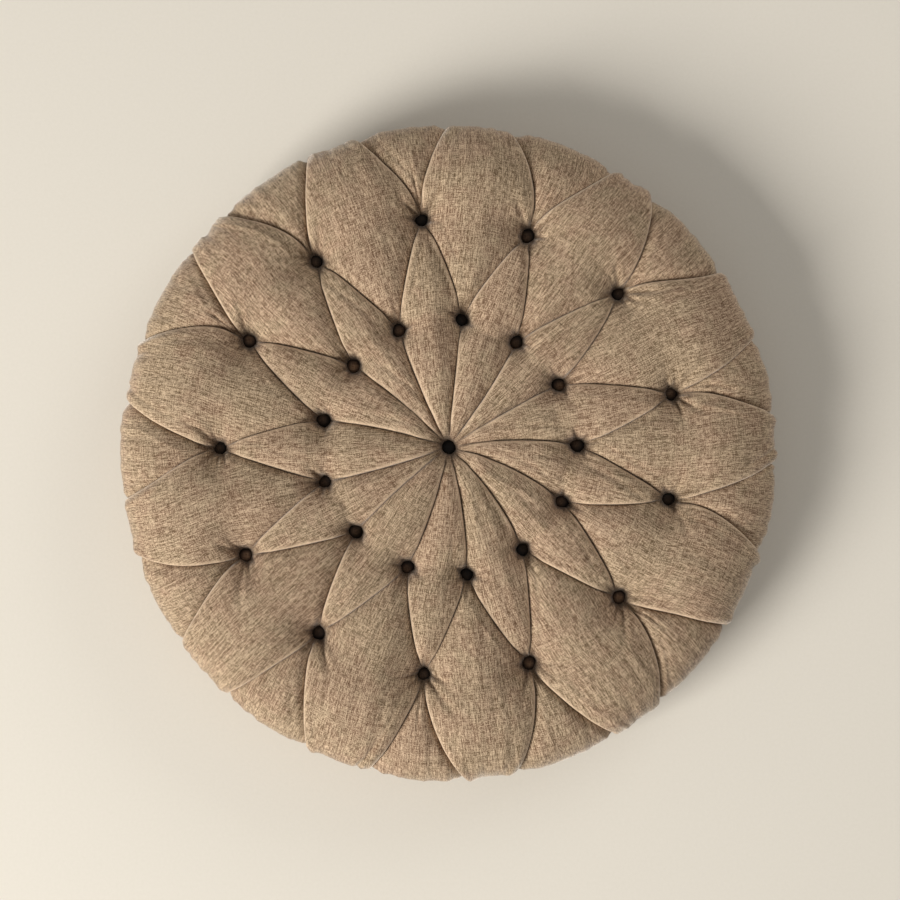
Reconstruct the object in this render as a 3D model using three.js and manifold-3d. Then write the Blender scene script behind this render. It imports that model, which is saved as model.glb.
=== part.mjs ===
// A round, deep-buttoned chair seat pad, in millimetres, +Z up, resting on z = 0.
// Two cloth covers meet in a seam low on the side and hold a fibre fill. Twenty-seven buttons sit at
// the bottom of wells in the top, and a twine under each runs down to a flat button on the underside.

import * as THREE from 'three';
import Module from 'manifold-3d';
import { mergeVertices } from 'three/addons/utils/BufferGeometryUtils.js';

// The pad's own outline, turned about its axis.
const PAD_RADIUS = 250;
const REST_RADIUS = 205;
const SHOULDER_RADIUS = 196;
const WIDEST_Z = 40;
const CREST_Z = 75;
const ROUND_STEPS = 4;
const PAD_SEGMENTS = 36;

// Cloth, and the gap kept between pieces that touch.
const CLOTH = 1.2;
const GAP = 0.3;

// The seam where the covers meet, and its thread.
const SEAM_Z = 22;
const THREAD_RADIUS = 0.35;
const THREAD_SIDES = 4;

// Two rings of buttons round a centre one.
const RING_COUNT = 13;
const RING_STEP = (2 * Math.PI) / RING_COUNT;
const INNER_RING_RADIUS = 96.3;
const INNER_RING_START = 0.095;
const OUTER_RING_RADIUS = 173;
const OUTER_RING_START = 0.36;

// The buttoning as a whole sits a little off the middle of the outline.
const BUTTONING_OFFSET_Y = 3.5;

// Each ring is sewn by hand, so its buttons sway a little off their true places, in two slow waves.
const SWAY_ANGLE = 0.011;
const SWAY_ANGLE_PACE = 2.4;
const SWAY_RADIUS = 1.4;
const SWAY_RADIUS_PACE = 1.9;

// The wells that the twine pulls into the top and the underside.
const WELL_SIDES = 8;
const TOP_SEAT_Z = 45;
const TOP_WELL_SEAT_RADIUS = 7.5;
const TOP_WELL_MOUTH_RADIUS = 20;
const UNDER_SEAT_Z = 8;
const UNDER_WELL_SEAT_RADIUS = 7.5;
const UNDER_WELL_MOUTH_RADIUS = 16;

// Buttons and twine.
const BUTTON_RADIUS = 5.7;
const BUTTON_EDGE = 1.6;
const BUTTON_HEIGHT = 4;
const BUTTON_SEGMENTS = 10;
const BUTTON_DOME_STEPS = 3;
const UNDER_BUTTON_RADIUS = 5.5;
const UNDER_BUTTON_THICKNESS = 2.6;
const UNDER_BUTTON_BEVEL = 0.7;
const UNDER_BUTTON_SEGMENTS = 8;
const TWINE_RADIUS = 0.9;
const TWINE_SIDES = 5;

// How far a cutting tool runs past the face that it cuts.
const PAST = 5;

const wasm = await Module();
wasm.setup();

// A closed three.js geometry as a solid that can be joined and cut.
function solid(geometry) {
  const bare = geometry.index ? geometry.toNonIndexed() : geometry.clone();
  bare.deleteAttribute('normal');
  bare.deleteAttribute('uv');
  const merged = mergeVertices(bare, 1e-4);
  const vertProperties = new Float32Array(merged.attributes.position.array);
  const triVerts = new Uint32Array(merged.index.array);
  return new wasm.Manifold(new wasm.Mesh({ numProp: 3, vertProperties, triVerts }));
}

// A solid as a named three.js mesh.
function mesh(name, body, material) {
  const raw = body.getMesh();
  const positions = new Float32Array(raw.numVert * 3);
  for (let i = 0; i < raw.numVert; i += 1) {
    const start = i * raw.numProp;
    positions.set(raw.vertProperties.subarray(start, start + 3), i * 3);
  }
  const geometry = new THREE.BufferGeometry();
  geometry.setAttribute('position', new THREE.BufferAttribute(positions, 3));
  geometry.setIndex(new THREE.BufferAttribute(raw.triVerts, 1));
  geometry.computeVertexNormals();
  const made = new THREE.Mesh(geometry, material);
  made.name = name;
  return made;
}

// A profile of [radius, height] pairs, from the axis at the bottom to the axis at the top, turned about +Z.
function turned(profile, segments) {
  const points = profile.map(([radius, height]) => new THREE.Vector2(radius, height));
  return solid(new THREE.LatheGeometry(points, segments).rotateX(Math.PI / 2));
}

// The outline of the pad moved inwards by a distance.
function padProfile(inset) {
  const profile = [[0, inset]];
  for (let i = 0; i <= ROUND_STEPS; i += 1) {
    const turn = (i / ROUND_STEPS) * (Math.PI / 2);
    const radius = REST_RADIUS + (PAD_RADIUS - REST_RADIUS - inset) * Math.sin(turn);
    profile.push([radius, WIDEST_Z - (WIDEST_Z - inset) * Math.cos(turn)]);
  }
  for (let i = 1; i <= ROUND_STEPS; i += 1) {
    const turn = (i / ROUND_STEPS) * (Math.PI / 2);
    const radius = SHOULDER_RADIUS + (PAD_RADIUS - SHOULDER_RADIUS - inset) * Math.cos(turn);
    profile.push([radius, WIDEST_Z + (CREST_Z - WIDEST_Z - inset) * Math.sin(turn)]);
  }
  profile.push([0, CREST_Z - inset]);
  return profile;
}

// The places of all the buttons, as names and centres.
function buttonPlaces() {
  const places = [{ label: 'centre', x: 0, y: BUTTONING_OFFSET_Y }];
  const rings = [
    { label: 'inner', radius: INNER_RING_RADIUS, start: INNER_RING_START, wave: 0.9 },
    { label: 'outer', radius: OUTER_RING_RADIUS, start: OUTER_RING_START, wave: 3.1 },
  ];
  for (const ring of rings) {
    for (let i = 0; i < RING_COUNT; i += 1) {
      const sway = SWAY_ANGLE * Math.sin(SWAY_ANGLE_PACE * i + ring.wave);
      const clockwise = ring.start + RING_STEP * i + sway;
      const radius = ring.radius + SWAY_RADIUS * Math.cos(SWAY_RADIUS_PACE * i + ring.wave);
      const number = String(i + 1).padStart(2, '0');
      places.push({
        label: `${ring.label}_${number}`,
        x: radius * Math.sin(clockwise),
        y: BUTTONING_OFFSET_Y + radius * Math.cos(clockwise),
      });
    }
  }
  return places;
}

const places = buttonPlaces();

// One body placed at every button and joined.
function atEveryButton(body) {
  return wasm.Manifold.union(places.map(({ x, y }) => body.translate([x, y, 0])));
}

// The well in the top, widening upwards, grown all round by the inset.
function topWell(inset) {
  const slope = (TOP_WELL_MOUTH_RADIUS - TOP_WELL_SEAT_RADIUS) / (CREST_Z - TOP_SEAT_Z);
  const seat = TOP_SEAT_Z - inset;
  const mouth = CREST_Z + PAST;
  const seatRadius = TOP_WELL_SEAT_RADIUS + inset;
  const mouthRadius = seatRadius + slope * (mouth - seat);
  return turned([[0, seat], [seatRadius, seat], [mouthRadius, mouth], [0, mouth]], WELL_SIDES);
}

// The shallower well in the underside, widening downwards.
function underWell(inset) {
  const slope = (UNDER_WELL_MOUTH_RADIUS - UNDER_WELL_SEAT_RADIUS) / UNDER_SEAT_Z;
  const seat = UNDER_SEAT_Z + inset;
  const mouth = -PAST;
  const seatRadius = UNDER_WELL_SEAT_RADIUS + inset;
  const mouthRadius = seatRadius + slope * (seat - mouth);
  return turned([[0, mouth], [mouthRadius, mouth], [seatRadius, seat], [0, seat]], WELL_SIDES);
}

// The whole buttoned form, moved inwards by a distance.
function form(inset) {
  const blank = turned(padProfile(inset), PAD_SEGMENTS);
  return blank.subtract(atEveryButton(topWell(inset))).subtract(atEveryButton(underWell(inset)));
}

// A block that covers everything between two heights.
function slab(low, high) {
  const side = 2 * (PAD_RADIUS + PAST);
  return solid(new THREE.BoxGeometry(side, side, high - low).translate(0, 0, (low + high) / 2));
}

// The pad's radius where the seam runs, on the lower round of the side.
function seamRadius() {
  const profile = padProfile(0);
  const above = profile.findIndex(([, height]) => height > SEAM_Z);
  const [lowRadius, lowHeight] = profile[above - 1];
  const [highRadius, highHeight] = profile[above];
  const share = (SEAM_Z - lowHeight) / (highHeight - lowHeight);
  return lowRadius + share * (highRadius - lowRadius);
}

// A closed ring round the seam, as thick as its section radius.
function seamRing(sectionRadius) {
  const ring = new THREE.TorusGeometry(seamRadius(), sectionRadius, THREAD_SIDES, PAD_SEGMENTS);
  return solid(ring.rotateZ(Math.PI / 2).translate(0, 0, SEAM_Z));
}

// A hole for the twine through the full height.
function twineHoles() {
  const radius = TWINE_RADIUS + GAP;
  const height = CREST_Z + 2 * PAST;
  const hole = new THREE.CylinderGeometry(radius, radius, height, TWINE_SIDES).rotateX(Math.PI / 2);
  return atEveryButton(solid(hole.translate(0, 0, CREST_Z / 2)));
}

// A dome button, flat underneath, resting just above the seat of its well.
function domeButton() {
  const base = TOP_SEAT_Z + GAP;
  const profile = [[0, base], [BUTTON_RADIUS, base]];
  for (let i = 0; i < BUTTON_DOME_STEPS; i += 1) {
    const turn = (i / BUTTON_DOME_STEPS) * (Math.PI / 2);
    const rise = (BUTTON_HEIGHT - BUTTON_EDGE) * Math.sin(turn);
    profile.push([BUTTON_RADIUS * Math.cos(turn), base + BUTTON_EDGE + rise]);
  }
  profile.push([0, base + BUTTON_HEIGHT]);
  return turned(profile, BUTTON_SEGMENTS);
}

// A twine with the flat underside button knotted to its lower end.
function tie() {
  const top = UNDER_SEAT_Z - GAP;
  const low = top - UNDER_BUTTON_THICKNESS;
  const button = turned([
    [0, low],
    [UNDER_BUTTON_RADIUS - UNDER_BUTTON_BEVEL, low],
    [UNDER_BUTTON_RADIUS, low + UNDER_BUTTON_BEVEL],
    [UNDER_BUTTON_RADIUS, top],
    [0, top],
  ], UNDER_BUTTON_SEGMENTS);
  const start = top - UNDER_BUTTON_BEVEL;
  const length = TOP_SEAT_Z - start;
  const strand = new THREE.CylinderGeometry(TWINE_RADIUS, TWINE_RADIUS, length, TWINE_SIDES);
  strand.rotateX(Math.PI / 2).translate(0, 0, start + length / 2);
  return button.add(solid(strand));
}

const linen = new THREE.MeshStandardMaterial({ color: 0x97806a, roughness: 0.92, metalness: 0 });
const underLinen = new THREE.MeshStandardMaterial({ color: 0x8a745f, roughness: 0.94, metalness: 0 });
const fibre = new THREE.MeshStandardMaterial({ color: 0xe9e4da, roughness: 1, metalness: 0 });
const thread = new THREE.MeshStandardMaterial({ color: 0x7c6753, roughness: 0.8, metalness: 0 });
const buttonCloth = new THREE.MeshStandardMaterial({ color: 0x4a352a, roughness: 0.75, metalness: 0 });
const twineAndButton = new THREE.MeshStandardMaterial({ color: 0x5a4636, roughness: 0.8, metalness: 0 });

const pad = new THREE.Group();
pad.name = 'chair_seat_pad';

const holes = twineHoles();
const outside = form(0);
const shell = outside.subtract(form(CLOTH)).subtract(seamRing(THREAD_RADIUS + GAP)).subtract(holes);
const topCover = shell.intersect(slab(SEAM_Z + GAP / 2, CREST_Z + PAST));
const bottomCover = shell.intersect(slab(-PAST, SEAM_Z - GAP / 2));
const fill = form(CLOTH + GAP).subtract(holes);

pad.add(mesh('top_cover', topCover, linen));
pad.add(mesh('bottom_cover', bottomCover, underLinen));
pad.add(mesh('fibre_fill', fill, fibre));
pad.add(mesh('seam_stitching', seamRing(THREAD_RADIUS), thread));

const button = domeButton();
const twine = tie();
for (const { label, x, y } of places) {
  pad.add(mesh(`button_${label}`, button.translate([x, y, 0]), buttonCloth));
  pad.add(mesh(`tie_${label}`, twine.translate([x, y, 0]), twineAndButton));
}

export default pad;
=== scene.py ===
# A round chair seat pad with two rings of deep-set buttons round a centre one. The top cloth is folded
# into pleats from button to button and out over the rim, and stuffing swells each panel between them.

import math

import bpy
import numpy as np
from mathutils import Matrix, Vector


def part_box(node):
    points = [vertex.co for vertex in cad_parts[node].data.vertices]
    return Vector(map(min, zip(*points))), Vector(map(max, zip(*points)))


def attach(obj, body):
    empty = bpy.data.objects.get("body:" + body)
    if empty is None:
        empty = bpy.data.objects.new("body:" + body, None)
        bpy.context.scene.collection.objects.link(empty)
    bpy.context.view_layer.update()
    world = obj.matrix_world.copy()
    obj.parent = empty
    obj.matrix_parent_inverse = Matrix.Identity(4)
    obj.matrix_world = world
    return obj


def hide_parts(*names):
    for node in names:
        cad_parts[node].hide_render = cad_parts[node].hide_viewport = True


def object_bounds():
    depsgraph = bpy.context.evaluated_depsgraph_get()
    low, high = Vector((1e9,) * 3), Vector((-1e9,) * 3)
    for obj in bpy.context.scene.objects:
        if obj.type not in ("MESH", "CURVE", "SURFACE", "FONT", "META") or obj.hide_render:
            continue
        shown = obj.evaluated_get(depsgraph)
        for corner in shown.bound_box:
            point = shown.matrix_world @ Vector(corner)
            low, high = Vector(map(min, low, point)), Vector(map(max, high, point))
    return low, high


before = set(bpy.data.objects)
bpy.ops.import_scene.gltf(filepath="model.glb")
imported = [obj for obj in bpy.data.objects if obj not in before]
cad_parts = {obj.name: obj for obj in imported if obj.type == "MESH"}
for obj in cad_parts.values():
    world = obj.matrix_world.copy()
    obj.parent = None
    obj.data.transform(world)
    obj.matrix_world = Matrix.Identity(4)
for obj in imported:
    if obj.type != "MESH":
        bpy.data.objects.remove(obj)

cad_low, cad_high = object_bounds()
MM = 0.001


def middle(node):
    """The middle of a CAD node's box."""
    low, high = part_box(node)
    return (low + high) / 2


# ---------------- sizes, in metres

RING = 13
PAD_RADIUS = (cad_high.x - cad_low.x) / 2
CREST_Z = cad_high.z
WIDEST_Z = 40 * MM
SHOULDER_RADIUS = 196 * MM
REST_RADIUS = 205 * MM
SEAM_Z = middle("seam_stitching").z
SEAM_TUCK = 1.7 * MM

CENTRE = middle("button_centre").xy
INNER = [middle(f"button_inner_{i + 1:02d}").xy for i in range(RING)]
OUTER = [middle(f"button_outer_{i + 1:02d}").xy for i in range(RING)]
BUTTON_NODES = ["centre"] + [f"{ring}_{i + 1:02d}" for ring in ("inner", "outer") for i in range(RING)]
BUTTON_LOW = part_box("button_centre")[0].z
BUTTON_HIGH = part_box("button_centre")[1].z
BUTTON_RADIUS = 5.7 * MM
BUTTON_RAISED = 2.0 * MM
SEAT_DEPTH = CREST_Z - BUTTON_LOW - BUTTON_RAISED + 0.3 * MM
UNDER_TOP = 7.7 * MM
UNDER_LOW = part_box("tie_centre")[0].z

# Points nearer to each other than this are one point.
SAME_PLACE = 2e-6
# The hidden faces inside each cover start from this share of the seam's width.
HIDDEN_INSET = 0.975
# How far round the lower part of the side the seam lies, as an angle from the widest line.
SEAM_DROP = math.asin((WIDEST_Z - SEAM_Z) / WIDEST_Z)
TUCK_LENGTH = 2.4 * MM
# Where the top turns down into the rim, as a reach along the cloth from its middle, and how long the turn is.
RIM_START, RIM_LENGTH = 0.190, 0.070
# The same for where the outline's own middle takes over from the centre button.
CENTRED_START, CENTRED_LENGTH = 0.186, 0.055

# How finely the top cloth is laid out: rows along each length of pleat, columns across each panel.
ROWS_INNER = 60
ROWS_MIDDLE = 48
ROWS_OUTER = 68
COLUMNS_KITE = 40
COLUMNS_PETAL = 60
COLUMNS_WEDGE = 36

# How far round from its button each outer pair of pleats lies, in degrees: the first pleat part way out and at the
# rim, and the second the same. They leave the button together and part at PARTING_AWAY from its middle.
OUTER_PLEATS = [
    (-2.9, -9.3, 5.0, 9.8), (-3.6, -9.0, 4.9, 8.7), (-2.9, -7.1, 2.4, 6.6), (-5.5, -11.4, 0.8, 4.8),
    (-5.2, -9.4, 2.2, 8.0), (-4.4, -9.9, 2.6, 8.4), (-3.3, -8.9, 3.4, 7.6), (-4.2, -9.2, 4.0, 7.5),
    (-3.2, -7.3, 3.4, 9.4), (-4.2, -7.9, 4.3, 9.6), (-2.3, -8.3, 5.4, 10.0), (-2.5, -8.2, 4.6, 9.6),
    (-4.1, -9.5, 2.3, 6.5),
]
# Gathers at each button: the least and most turn from straight outwards in degrees, then the least and most length
# in millimetres.
OUTER_GATHERS = [
    (-54, -38, 24, 44), (38, 54, 24, 44), (-90, -60, 12, 24), (60, 90, 12, 24),
    (-14, 14, 14, 28), (-150, -100, 8, 17), (100, 150, 8, 17), (172, 188, 10, 17),
]
INNER_GATHERS = [
    (-13, -4, 14, 28), (4, 13, 14, 28), (-90, -35, 9, 20),
    (35, 90, 9, 20), (-150, -95, 8, 16), (95, 150, 8, 16),
]
# How far each pleat from the centre to an inner button bows towards the button before it, in millimetres.
SPOKE_BOWS = [0, -2.5, 1, 4, 5.5, 5, 3, 3, -2, 2, -3, -3, 2]
PARTING_AWAY = 6 * MM
PART_WAY_RADIUS = 211 * MM
RIM_RADIUS = 249 * MM

# A well beside a button: the share of its depth that the steep wall and the gentle slope take, with how wide each is
# in millimetres, and how sharply both bend.
WELL_WALL = (0.46, 1.9)
WELL_SLOPE = (0.54, 9.5)
WELL_BEND = 1.1
# How high the cloth stands over its folds in millimetres, in a sharp part and a soft part, and what each loses at the
# rim.
CREASE_SHARP = (4.0, 1.6)
CREASE_SOFT = (3.6, 2.2)
# Nearer to a button's middle than this, the cloth lies flat under the button or is sewn fast.
UNDER_BUTTON = 4 * MM
HELD_BY_BUTTON = 7 * MM
HELD_BY_SEAM = 2.5 * MM


# ---------------- camera

CAMERA_TILT = math.radians(1)
CAMERA_AWAY = 1.625
aim = Vector((1.2 * MM, 1.6 * MM, WIDEST_Z))
camera = bpy.data.objects.new("camera", bpy.data.cameras.new("camera"))
camera.data.lens = 85
camera.data.sensor_width = 36
camera.location = aim + Vector((0, -math.sin(CAMERA_TILT), math.cos(CAMERA_TILT))) * CAMERA_AWAY
camera.rotation_euler = (CAMERA_TILT, 0, 0)
camera.data.clip_start = 0.05
camera.data.clip_end = 20
bpy.context.scene.collection.objects.link(camera)
bpy.context.scene.camera = camera


# ---------------- small helpers

def eased(x):
    """0 below 0, 1 above 1, and smooth between."""
    x = np.clip(x, 0, 1)
    return x * x * (3 - 2 * x)


def wander(x, y, size, seed):
    """Smooth random rise and fall, from -1 to 1, with bumps about size across."""
    count = 64
    table = np.random.default_rng(seed).uniform(-1, 1, (count, count))
    gx, gy = x / size + 1000, y / size + 1000
    ix, iy = np.floor(gx).astype(int), np.floor(gy).astype(int)
    fx, fy = eased(gx - ix), eased(gy - iy)
    a, b = ix % count, (ix + 1) % count
    c, d = iy % count, (iy + 1) % count
    near = table[a, c] * (1 - fx) + table[b, c] * fx
    far = table[a, d] * (1 - fx) + table[b, d] * fx
    return near * (1 - fy) + far * fy


def rise(e, size):
    """0 at the fold and towards 1 away from it, steep at first."""
    return 1 - np.exp(-((np.maximum(e, 0) / size) ** 0.85))


def swell(e, size):
    """0 at the fold and towards 1 away from it, gently."""
    return 1 - np.exp(-((np.maximum(e, 0) / size) ** 1.25))


def hump(e, at, width):
    """A ridge along a line at a distance from the fold, nothing at the fold itself."""
    return np.exp(-(((e - at) / width) ** 2)) * eased(e / (0.6 * at))


# ---------------- the side of the pad

def side_of_pad():
    """Radius and height along the cloth from the middle of the top, over the rim and down to the seam."""
    turn = np.linspace(0, math.pi / 2, 160)
    drop = np.linspace(0, SEAM_DROP, 60)[1:]
    upper = SHOULDER_RADIUS + (PAD_RADIUS - SHOULDER_RADIUS) * np.sin(turn)
    lower = REST_RADIUS + (PAD_RADIUS - REST_RADIUS) * np.cos(drop)
    upper_height = WIDEST_Z + (CREST_Z - WIDEST_Z) * np.cos(turn)
    lower_height = WIDEST_Z * (1 - np.sin(drop))
    return np.concatenate([[0], upper, lower]), np.concatenate([[CREST_Z], upper_height, lower_height])


SIDE_RADIUS, SIDE_HEIGHT = side_of_pad()
SIDE_STEPS = np.hypot(np.diff(SIDE_RADIUS), np.diff(SIDE_HEIGHT))
SIDE_LENGTH = np.concatenate([[0], np.cumsum(SIDE_STEPS)])
CLOTH_REACH = SIDE_LENGTH[-1]
SIDE_SLOPE_R = np.gradient(SIDE_RADIUS, SIDE_LENGTH)
SIDE_SLOPE_Z = np.gradient(SIDE_HEIGHT, SIDE_LENGTH)


def on_side(reach, turn):
    """The place on the plain side, the way out of it, and the way clockwise along it."""
    radius = np.interp(reach, SIDE_LENGTH, SIDE_RADIUS)
    height = np.interp(reach, SIDE_LENGTH, SIDE_HEIGHT)
    out_r = -np.interp(reach, SIDE_LENGTH, SIDE_SLOPE_Z)
    out_z = np.interp(reach, SIDE_LENGTH, SIDE_SLOPE_R)
    size = np.hypot(out_r, out_z)
    out_r, out_z = out_r / size, out_z / size
    off = 1 - eased((reach - CENTRED_START) / CENTRED_LENGTH)
    x, y = radius * np.sin(turn) + CENTRE.x * off, radius * np.cos(turn) + CENTRE.y * off
    place = np.stack([x, y, height], -1)
    out = np.stack([out_r * np.sin(turn), out_r * np.cos(turn), out_z], -1)
    along = np.stack([np.cos(turn), -np.sin(turn), np.zeros_like(turn)], -1)
    return place, out, along


# ---------------- pleats

def steps(count):
    """Shares from 0 to 1, closer together at both ends."""
    x = np.linspace(0, 1, count + 1)
    return x - 0.085 * np.sin(2 * math.pi * x)


def polar(points):
    """Distance from the centre button and clockwise turn from +Y of flat points, without a jump in the turn."""
    reach = np.hypot(points[:, 0], points[:, 1])
    turn = np.unwrap(np.arctan2(points[1:, 0], points[1:, 1]))
    if reach[0] < 1e-9:
        turn = np.concatenate([turn[:1], turn])
    else:
        turn = np.unwrap(np.arctan2(points[:, 0], points[:, 1]))
    return np.stack([reach, turn], -1)


def pleat_between(start, end, bow, count):
    """A pleat from one button to another, bowed sideways by a little, as reach and turn at each row."""
    share = steps(count)[:, None]
    start, end = np.array(start - CENTRE), np.array(end - CENTRE)
    ahead = end - start
    sideways = np.array([-ahead[1], ahead[0]]) / np.hypot(*ahead)
    return polar(start + ahead * share + sideways * bow * 4 * share * (1 - share))


def pleat_to_seam(start, part_way, at_rim, count):
    """A pleat from an outer button out over the rim and straight down to the seam."""
    at = np.array(start - CENTRE)
    from_button = np.hypot(*at)
    reach = from_button + (CLOTH_REACH - from_button) * steps(count)
    radius = np.maximum.accumulate(np.interp(reach, SIDE_LENGTH, SIDE_RADIUS))
    parting = from_button + PARTING_AWAY
    out = np.clip((radius - parting) / (RIM_RADIUS - parting), 0, 1)
    half_way = (PART_WAY_RADIUS - parting) / (RIM_RADIUS - parting)
    swing = out * (at_rim + (part_way / half_way - at_rim) * (1 - out) / (1 - half_way))
    swing = swing + math.copysign(0.12, at_rim) * eased((reach - from_button) / (6 * MM))
    return np.stack([reach, math.atan2(at[0], at[1]) + np.radians(swing)], -1)


def near_turn(path, turn):
    """The same path with its turn within half a turn of another."""
    shift = 2 * math.pi * np.round((path[-1, 1] - turn) / (2 * math.pi))
    return path - np.array([0, shift])


def pleat_lines(scale):
    """All the pleats, at one part in scale of the full rows: centre to inner, inner to outer on either side, and
    outer to the seam on either side."""
    draw = np.random.default_rng(31)
    inner_rows, middle_rows, outer_rows = (n // scale for n in (ROWS_INNER, ROWS_MIDDLE, ROWS_OUTER))
    lines = {"spoke": [], "back": [], "ahead": [], "low": [], "high": []}
    for i in range(RING):
        bow = draw.uniform((0.8, -3.4), (2.6, -1.0)) * MM
        first_part, first_rim, second_part, second_rim = OUTER_PLEATS[i]
        lines["spoke"].append(pleat_between(CENTRE, INNER[i], SPOKE_BOWS[i] * MM, inner_rows))
        lines["ahead"].append(pleat_between(INNER[i], OUTER[i], bow[0], middle_rows))
        lines["back"].append(pleat_between(INNER[i], OUTER[i - 1], bow[1], middle_rows))
        lines["low"].append(pleat_to_seam(OUTER[i], first_part, first_rim, outer_rows))
        lines["high"].append(pleat_to_seam(OUTER[i], second_part, second_rim, outer_rows))
    return lines


def panels(scale):
    """Every panel of the top: its kind, its number, its left and right pleat from the inner end to the outer end, and
    how many columns it has."""
    lines = pleat_lines(scale)
    made = []
    for i in range(RING):
        def path(name, at, then=None, then_at=0):
            line = near_turn(lines[name][at], lines["ahead"][i][-1, 1])
            return np.concatenate([line, path(then, then_at)[1:]]) if then else line

        after = (i + 1) % RING
        kite = path("spoke", i, "ahead", i), path("spoke", after, "back", after)
        petal = path("back", i, "high", i - 1), path("ahead", i, "low", i)
        made.append(("kite", i, *kite, COLUMNS_KITE // scale))
        made.append(("petal", i, *petal, COLUMNS_PETAL // scale))
        made.append(("wedge", i, path("low", i), path("high", i), COLUMNS_WEDGE // scale))
    return made


def columns(count):
    """Shares across a panel, closer together beside the pleats."""
    x = np.linspace(0, 1, count + 1)
    half = np.minimum(x, 1 - x) * 2
    share = 0.5 * half ** 1.45
    return np.where(x <= 0.5, share, 1 - share)


# ---------------- the shape of the top cloth

BUTTON_SPOTS = np.array([[0, 0]] + [list(spot - CENTRE) for spot in INNER + OUTER])


def nearest_button(x, y):
    """Which button is nearest to each flat point, how far it is, and the way round it."""
    away = np.hypot(x[..., None] - BUTTON_SPOTS[:, 0], y[..., None] - BUTTON_SPOTS[:, 1])
    which = away.argmin(-1)
    turn = np.arctan2(x - BUTTON_SPOTS[which, 0], y - BUTTON_SPOTS[which, 1])
    return which, away.min(-1), turn


def well(x, y):
    """How far the cloth dips beside a button: a gentle slope, then a steep wall over the button's edge."""
    which, away, turn = nearest_button(x, y)
    draw = np.random.default_rng(55)
    phase = draw.uniform(0, 2 * math.pi, (3, len(BUTTON_SPOTS)))[:, which]
    uneven = draw.uniform(0.3, 1.0, (3, len(BUTTON_SPOTS)))[:, which]
    mouth = draw.uniform(3.6, 4.7, len(BUTTON_SPOTS))[which]
    for wave, size in enumerate((0.40, 0.50, 0.35)):
        mouth = mouth + size * uneven[wave] * np.cos((wave + 1) * turn + phase[wave])
    beyond = np.maximum(away / MM - mouth, 0)
    parts = [share * np.exp(-((beyond / wide) ** WELL_BEND)) for share, wide in (WELL_WALL, WELL_SLOPE)]
    return SEAT_DEPTH * sum(parts)


def gathers():
    """Where the cloth is drawn into gathers: each one's button, the way it runs, its length, depth and bend."""
    draw = np.random.default_rng(77)
    made = []
    for number, spot in enumerate(BUTTON_SPOTS[1:]):
        outward = math.atan2(spot[0], spot[1])
        for low, high, shortest, longest in INNER_GATHERS if number < RING else OUTER_GATHERS:
            way = outward + math.radians(draw.uniform(low, high))
            length, depth = draw.uniform(shortest, longest) * MM, draw.uniform(1.8, 4.2) * MM
            made.append((spot, way, length, depth, draw.uniform(-6, 6)))
    return made


def tucks(x, y):
    """How deep the gathers at the buttons are."""
    dip = np.zeros_like(x)
    for (bx, by), way, length, depth, bend in gathers():
        forward = (x - bx) * math.sin(way) + (y - by) * math.cos(way)
        across = (x - bx) * math.cos(way) - (y - by) * math.sin(way) + bend * forward * forward
        width = 1.0 * MM + 0.05 * np.maximum(forward, 0)
        ends = eased((forward - 3 * MM) / (4 * MM)) * np.clip(1 - (np.maximum(forward, 0) / length) ** 1.6, 0, 1)
        groove = np.exp(-((across / width) ** 2)) - 0.28 * np.exp(-(((np.abs(across) - 2.3 * width) / width) ** 2))
        dip += depth * groove * ends
    return dip


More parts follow.
